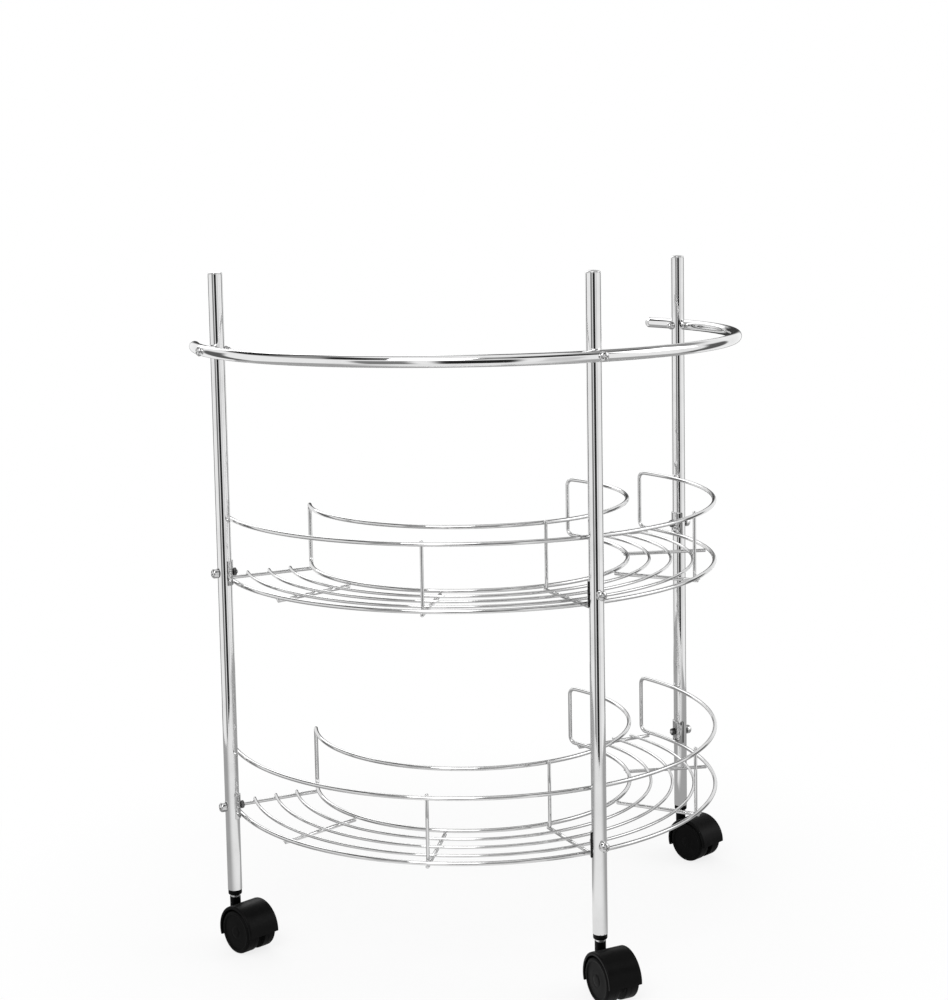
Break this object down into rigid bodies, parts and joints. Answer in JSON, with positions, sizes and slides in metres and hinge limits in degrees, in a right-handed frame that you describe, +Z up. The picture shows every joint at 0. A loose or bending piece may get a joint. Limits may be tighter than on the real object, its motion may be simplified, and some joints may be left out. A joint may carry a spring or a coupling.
{
  "type": "under sink organizer",
  "caption": "Horseshoe rack of chromed tube and wire with guarded shelves, a towel rail and swivel casters, made to stand round a wash basin's foot.",
  "frame": {"origin": "on the floor, on the upright axis of the horseshoe that the legs, shelves and rail are bent round", "axes": "+Z up; +Y from the front leg to the open back; +X to the right as seen from the front"},
  "size_m": [0.5716, 0.3822, 0.664],
  "materials": {
    "chrome_tube": "bright chrome plating on steel tube",
    "chrome_wire": "bright chrome plating on steel wire",
    "saddle": "chrome plating on bent steel sheet",
    "screw": "chrome plating on steel fasteners",
    "leg_plug": "bright plated plastic plug",
    "stem": "turned, zinc-plated steel",
    "black_plastic": "moulded nylon, half gloss",
    "wheel_plastic": "moulded nylon, satin"
  },
  "bodies": {
    "frame": {"leg_left": "chrome_tube", "leg_plug_left": "leg_plug", "leg_front": "chrome_tube", "leg_plug_front": "leg_plug", "leg_right": "chrome_tube", "leg_plug_right": "leg_plug", "towel_rail": "chrome_tube", "rail_cap_left": "chrome_tube", "rail_cap_right": "chrome_tube", "rail_screws": "screw", "rail_nuts": "screw", "shelf_screws": "screw", "shelf_nuts": "screw", "lower_outer_loop": "chrome_wire", "lower_inner_loop": "chrome_wire", "lower_floor_arc_1": "chrome_wire", "lower_floor_arc_2": "chrome_wire", "lower_floor_arc_3": "chrome_wire", "lower_cross_wires": "chrome_wire", "lower_end_wire_left": "chrome_wire", "lower_end_wire_right": "chrome_wire", "lower_outer_post_left": "chrome_wire", "lower_outer_post_right": "chrome_wire", "lower_inner_post": "chrome_wire", "lower_saddle_left": "saddle", "lower_saddle_front": "saddle", "lower_saddle_right": "saddle", "upper_outer_loop": "chrome_wire", "upper_inner_loop": "chrome_wire", "upper_floor_arc_1": "chrome_wire", "upper_floor_arc_2": "chrome_wire", "upper_floor_arc_3": "chrome_wire", "upper_cross_wires": "chrome_wire", "upper_end_wire_left": "chrome_wire", "upper_end_wire_right": "chrome_wire", "upper_outer_post_left": "chrome_wire", "upper_outer_post_right": "chrome_wire", "upper_inner_post": "chrome_wire", "upper_saddle_left": "saddle", "upper_saddle_front": "saddle", "upper_saddle_right": "saddle", "caster_left_socket": "black_plastic", "caster_front_socket": "black_plastic", "caster_right_socket": "black_plastic"},
    "caster_left": {"caster_left_stem": "stem", "caster_left_hood": "black_plastic", "caster_left_axle": "stem"},
    "wheel_left_inner": {"caster_left_wheel_inner": "wheel_plastic"},
    "wheel_left_outer": {"caster_left_wheel_outer": "wheel_plastic"},
    "caster_front": {"caster_front_stem": "stem", "caster_front_hood": "black_plastic", "caster_front_axle": "stem"},
    "wheel_front_inner": {"caster_front_wheel_inner": "wheel_plastic"},
    "wheel_front_outer": {"caster_front_wheel_outer": "wheel_plastic"},
    "caster_right": {"caster_right_stem": "stem", "caster_right_hood": "black_plastic", "caster_right_axle": "stem"},
    "wheel_right_inner": {"caster_right_wheel_inner": "wheel_plastic"},
    "wheel_right_outer": {"caster_right_wheel_outer": "wheel_plastic"}
  },
  "joints": [
    {"name": "caster_left_swivel", "type": "hinge", "parent": "frame", "child": "caster_left", "pos_m": [-0.25984, 0.00907, 0.05], "axis": [0, 0, 1], "continuous": true},
    {"name": "wheel_left_inner_spin", "type": "hinge", "parent": "caster_left", "child": "wheel_left_inner", "pos_m": [-0.25335, -0.0109, 0.021], "axis": [0.9511, 0.309, 0], "continuous": true},
    {"name": "wheel_left_outer_spin", "type": "hinge", "parent": "caster_left", "child": "wheel_left_outer", "pos_m": [-0.25335, -0.0109, 0.021], "axis": [0.9511, 0.309, 0], "continuous": true},
    {"name": "caster_front_swivel", "type": "hinge", "parent": "frame", "child": "caster_front", "pos_m": [0, -0.26, 0.05], "axis": [0, 0, 1], "continuous": true},
    {"name": "wheel_front_inner_spin", "type": "hinge", "parent": "caster_front", "child": "wheel_front_inner", "pos_m": [0, -0.281, 0.021], "axis": [1, 0, 0], "continuous": true},
    {"name": "wheel_front_outer_spin", "type": "hinge", "parent": "caster_front", "child": "wheel_front_outer", "pos_m": [0, -0.281, 0.021], "axis": [1, 0, 0], "continuous": true},
    {"name": "caster_right_swivel", "type": "hinge", "parent": "frame", "child": "caster_right", "pos_m": [0.25984, 0.00907, 0.05], "axis": [0, 0, 1], "continuous": true},
    {"name": "wheel_right_inner_spin", "type": "hinge", "parent": "caster_right", "child": "wheel_right_inner", "pos_m": [0.26633, -0.0109, 0.021], "axis": [0.9511, 0.309, 0], "continuous": true},
    {"name": "wheel_right_outer_spin", "type": "hinge", "parent": "caster_right", "child": "wheel_right_outer", "pos_m": [0.26633, -0.0109, 0.021], "axis": [0.9511, 0.309, 0], "continuous": true}
  ]
}
